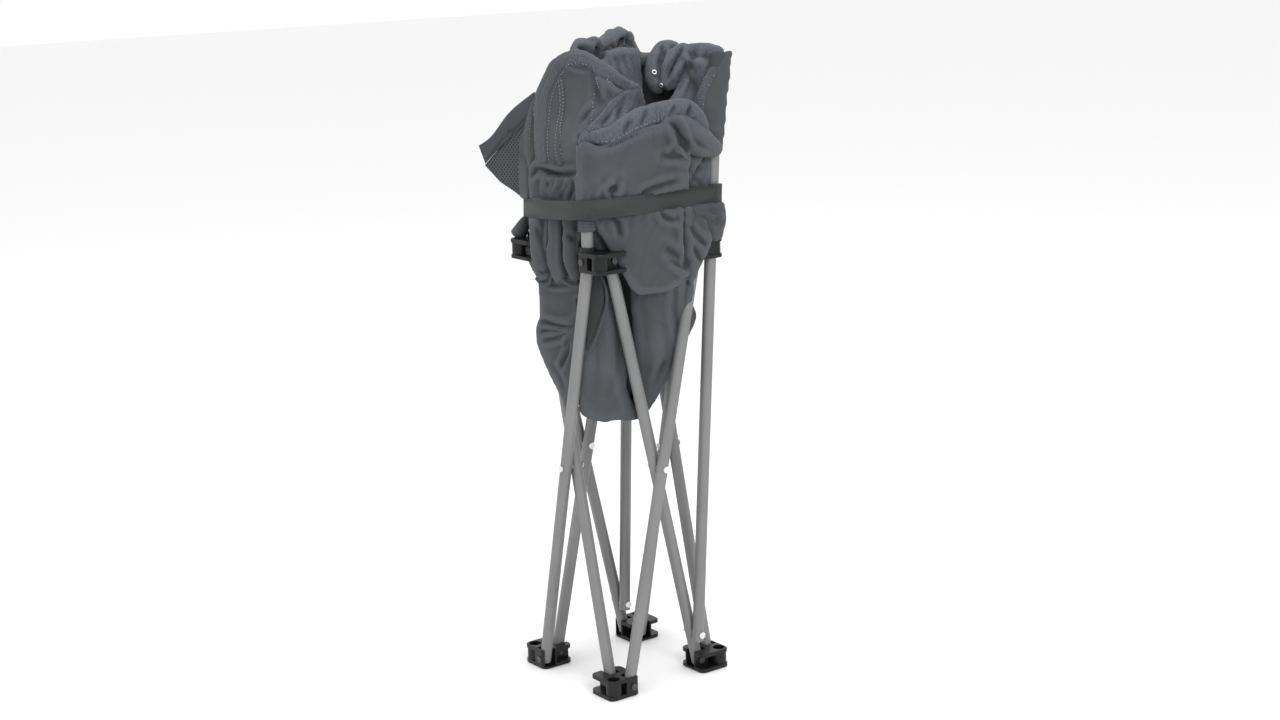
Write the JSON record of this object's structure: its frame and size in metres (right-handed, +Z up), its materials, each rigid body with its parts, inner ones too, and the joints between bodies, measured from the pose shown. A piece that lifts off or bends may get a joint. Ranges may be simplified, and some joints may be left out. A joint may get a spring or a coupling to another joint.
{
  "type": "folding padded camp chair",
  "caption": "Folding chair, folded and strapped: crossed steel tubes on four plastic feet, long back posts and a gathered padded cloth seat, backrest and armrests.",
  "frame": {"origin": "on the floor under the middle of the folded chair", "axes": "+Z up, -Y the way the unfolded chair faces, +X the right side as seen from the front"},
  "size_m": [0.224, 0.2422, 0.8517],
  "materials": {
    "tubes": "satin grey powder coat",
    "plastic": "moulded, near black",
    "rivets": "plated rivet",
    "cloth": "slate grey woven polyester over wadding",
    "webbing": "dark grey flat webbing",
    "mesh": "dark open mesh"
  },
  "bodies": {
    "foot_front_right": {"foot_front_right": "plastic", "foot_pins_front_right": "rivets"},
    "tube_front_inner": {"tube_inner_front": "tubes", "mid_rivet_front": "rivets"},
    "tube_right_outer": {"tube_outer_right": "tubes", "mid_rivet_right": "rivets"},
    "hub_front_left": {"hub_front_left": "plastic", "hub_pins_front_left": "rivets", "arm_post_left": "tubes", "arm_sleeve_left": "cloth", "armrest_left_front": "cloth", "mesh_pocket": "mesh"},
    "tube_front_outer": {"tube_outer_front": "tubes"},
    "hub_back_right": {"hub_back_right": "plastic", "hub_pins_back_right": "rivets"},
    "tube_right_inner": {"tube_inner_right": "tubes"},
    "foot_front_left": {"foot_front_left": "plastic", "foot_pins_front_left": "rivets"},
    "hub_front_right": {"hub_front_right": "plastic", "hub_pins_front_right": "rivets", "arm_post_right": "tubes", "arm_sleeve_right": "cloth", "armrest_right_front": "cloth"},
    "foot_back_right": {"foot_back_right": "plastic", "foot_pins_back_right": "rivets"},
    "post_right": {"back_post_right": "tubes", "back_sleeve_right": "cloth", "post_rivet_right": "rivets", "backrest_right": "cloth", "strap": "webbing"},
    "tube_left_outer": {"tube_outer_left": "tubes", "mid_rivet_left": "rivets"},
    "foot_back_left": {"foot_back_left": "plastic", "foot_pins_back_left": "rivets"},
    "tube_left_inner": {"tube_inner_left": "tubes"},
    "post_left": {"back_post_left": "tubes", "back_sleeve_left": "cloth", "post_rivet_left": "rivets"},
    "hub_back_left": {"hub_back_left": "plastic", "hub_pins_back_left": "rivets"},
    "tube_back_inner": {"tube_inner_back": "tubes"},
    "tube_back_outer": {"tube_outer_back": "tubes", "mid_rivet_back": "rivets"},
    "seat_front_right_edge": {"seat_front_right": "cloth"},
    "seat_front_left_edge": {"seat_front_left": "cloth"},
    "seat_back_right_edge": {"seat_back_right": "cloth"},
    "seat_back_left_edge": {"seat_back_left": "cloth"},
    "backrest_left_edge": {"backrest_left": "cloth"},
    "armrest_right_rear_end": {"armrest_right_rear": "cloth"},
    "armrest_left_rear_end": {"armrest_left_rear": "cloth"}
  },
  "joints": [
    {"name": "frame_fold", "type": "hinge", "parent": "foot_front_right", "child": "tube_right_outer", "pos_m": [0.0925, -0.0655, 0.013], "axis": [-1, 0, 0], "range_deg": [0, 32], "deforming": ["seat_front_right", "seat_front_left", "seat_back_right", "seat_back_left", "backrest_right", "backrest_left", "armrest_right_front", "armrest_right_rear", "armrest_left_front", "armrest_left_rear", "mesh_pocket", "strap"]},
    {"name": "front_inner_foot_pin", "type": "hinge", "parent": "foot_front_right", "child": "tube_front_inner", "pos_m": [0.0655, -0.0759, 0.013], "axis": [0, -1, 0], "range_deg": [0, 32]},
    {"name": "front_left_hub_pin", "type": "hinge", "parent": "tube_front_inner", "child": "hub_front_left", "pos_m": [-0.0655, -0.0759, 0.594], "axis": [0, 1, 0], "range_deg": [0, 32]},
    {"name": "front_mid_rivet", "type": "hinge", "parent": "tube_front_inner", "child": "tube_front_outer", "pos_m": [0, -0.0759, 0.3035], "axis": [0, 1, 0], "range_deg": [0, 64.01]},
    {"name": "back_right_hub_pin", "type": "hinge", "parent": "tube_right_outer", "child": "hub_back_right", "pos_m": [0.0925, 0.0655, 0.594], "axis": [1, 0, 0], "range_deg": [0, 32]},
    {"name": "right_mid_rivet", "type": "hinge", "parent": "tube_right_outer", "child": "tube_right_inner", "pos_m": [0.0925, 0, 0.3035], "axis": [1, 0, 0], "range_deg": [0, 64.01]},
    {"name": "front_left_foot_pin", "type": "hinge", "parent": "tube_front_outer", "child": "foot_front_left", "pos_m": [-0.0655, -0.0925, 0.013], "axis": [0, -1, 0], "range_deg": [0, 32]},
    {"name": "front_right_hub_pin", "type": "hinge", "parent": "tube_front_outer", "child": "hub_front_right", "pos_m": [0.0655, -0.0925, 0.594], "axis": [0, -1, 0], "range_deg": [0, 32]},
    {"name": "back_right_foot_pin", "type": "hinge", "parent": "tube_right_inner", "child": "foot_back_right", "pos_m": [0.0759, 0.0655, 0.013], "axis": [-1, 0, 0], "range_deg": [0, 32]},
    {"name": "right_post_rivet", "type": "hinge", "parent": "tube_right_inner", "child": "post_right", "pos_m": [0.0925, 0.05582, 0.05592], "axis": [-1, 0, 0], "range_deg": [0, 36.07]},
    {"name": "left_outer_hub_pin", "type": "hinge", "parent": "hub_front_left", "child": "tube_left_outer", "pos_m": [-0.0925, -0.0655, 0.594], "axis": [1, 0, 0], "range_deg": [0, 32]},
    {"name": "back_left_foot_pin", "type": "hinge", "parent": "tube_left_outer", "child": "foot_back_left", "pos_m": [-0.0925, 0.0655, 0.013], "axis": [-1, 0, 0], "range_deg": [0, 32]},
    {"name": "left_mid_rivet", "type": "hinge", "parent": "tube_left_outer", "child": "tube_left_inner", "pos_m": [-0.0925, 0, 0.3035], "axis": [-1, 0, 0], "range_deg": [0, 64.01]},
    {"name": "left_post_rivet", "type": "hinge", "parent": "tube_left_outer", "child": "post_left", "pos_m": [-0.0759, 0.05582, 0.05592], "axis": [-1, 0, 0], "range_deg": [0, 36.07]},
    {"name": "back_left_hub_pin", "type": "hinge", "parent": "tube_left_inner", "child": "hub_back_left", "pos_m": [-0.0759, 0.0655, 0.594], "axis": [1, 0, 0], "range_deg": [0, 32]},
    {"name": "back_inner_hub_pin", "type": "hinge", "parent": "hub_back_right", "child": "tube_back_inner", "pos_m": [0.0655, 0.0759, 0.594], "axis": [0, 1, 0], "range_deg": [0, 32]},
    {"name": "back_outer_foot_pin", "type": "hinge", "parent": "foot_back_right", "child": "tube_back_outer", "pos_m": [0.0655, 0.0925, 0.013], "axis": [0, -1, 0], "range_deg": [0, 32]},
    {"name": "seat_front_swing", "type": "hinge", "parent": "hub_front_right", "child": "seat_front_right_edge", "pos_m": [0, -0.072, 0.574], "axis": [1, 0, 0], "range_deg": [0, 80.01]},
    {"name": "seat_front_spread", "type": "slide", "parent": "seat_front_right_edge", "child": "seat_front_left_edge", "axis": [-1, 0, 0], "range_m": [0, 0.28801]},
    {"name": "seat_back_swing", "type": "hinge", "parent": "hub_back_right", "child": "seat_back_right_edge", "pos_m": [0, 0.072, 0.56], "axis": [-1, 0, 0], "range_deg": [0, 80.01]},
    {"name": "seat_back_spread", "type": "slide", "parent": "seat_back_right_edge", "child": "seat_back_left_edge", "axis": [-1, 0, 0], "range_m": [0, 0.28801]},
    {"name": "backrest_spread", "type": "slide", "parent": "post_right", "child": "backrest_left_edge", "axis": [-1, 0, 0], "range_m": [0, 0.28801]},
    {"name": "armrest_right_spread", "type": "slide", "parent": "hub_front_right", "child": "armrest_right_rear_end", "axis": [0, 0.8771, 0.4803], "range_m": [0, 0.32836]},
    {"name": "armrest_left_spread", "type": "slide", "parent": "hub_front_left", "child": "armrest_left_rear_end", "axis": [0, 0.8771, 0.4803], "range_m": [0, 0.32836]}
  ],
  "couplings": [
    {"joint": "front_inner_foot_pin", "follows": "frame_fold", "ratio": 1},
    {"joint": "front_left_hub_pin", "follows": "frame_fold", "ratio": 1},
    {"joint": "front_mid_rivet", "follows": "frame_fold", "ratio": 2},
    {"joint": "back_right_hub_pin", "follows": "frame_fold", "ratio": 1},
    {"joint": "right_mid_rivet", "follows": "frame_fold", "ratio": 2},
    {"joint": "front_left_foot_pin", "follows": "frame_fold", "ratio": 1},
    {"joint": "front_right_hub_pin", "follows": "frame_fold", "ratio": 1},
    {"joint": "back_right_foot_pin", "follows": "frame_fold", "ratio": 1},
    {"joint": "right_post_rivet", "follows": "frame_fold", "ratio": 1.127},
    {"joint": "left_outer_hub_pin", "follows": "frame_fold", "ratio": 1},
    {"joint": "back_left_foot_pin", "follows": "frame_fold", "ratio": 1},
    {"joint": "left_mid_rivet", "follows": "frame_fold", "ratio": 2},
    {"joint": "left_post_rivet", "follows": "frame_fold", "ratio": 1.127},
    {"joint": "back_left_hub_pin", "follows": "frame_fold", "ratio": 1},
    {"joint": "back_inner_hub_pin", "follows": "frame_fold", "ratio": 1},
    {"joint": "back_outer_foot_pin", "follows": "frame_fold", "ratio": 1},
    {"joint": "seat_front_swing", "follows": "frame_fold", "ratio": 2.5},
    {"joint": "seat_front_spread", "follows": "frame_fold", "m_per_rad": 0.51562},
    {"joint": "seat_back_swing", "follows": "frame_fold", "ratio": 2.5},
    {"joint": "seat_back_spread", "follows": "frame_fold", "m_per_rad": 0.51562},
    {"joint": "backrest_spread", "follows": "frame_fold", "m_per_rad": 0.51562},
    {"joint": "armrest_right_spread", "follows": "frame_fold", "m_per_rad": 0.58788},
    {"joint": "armrest_left_spread", "follows": "frame_fold", "m_per_rad": 0.58788}
  ]
}
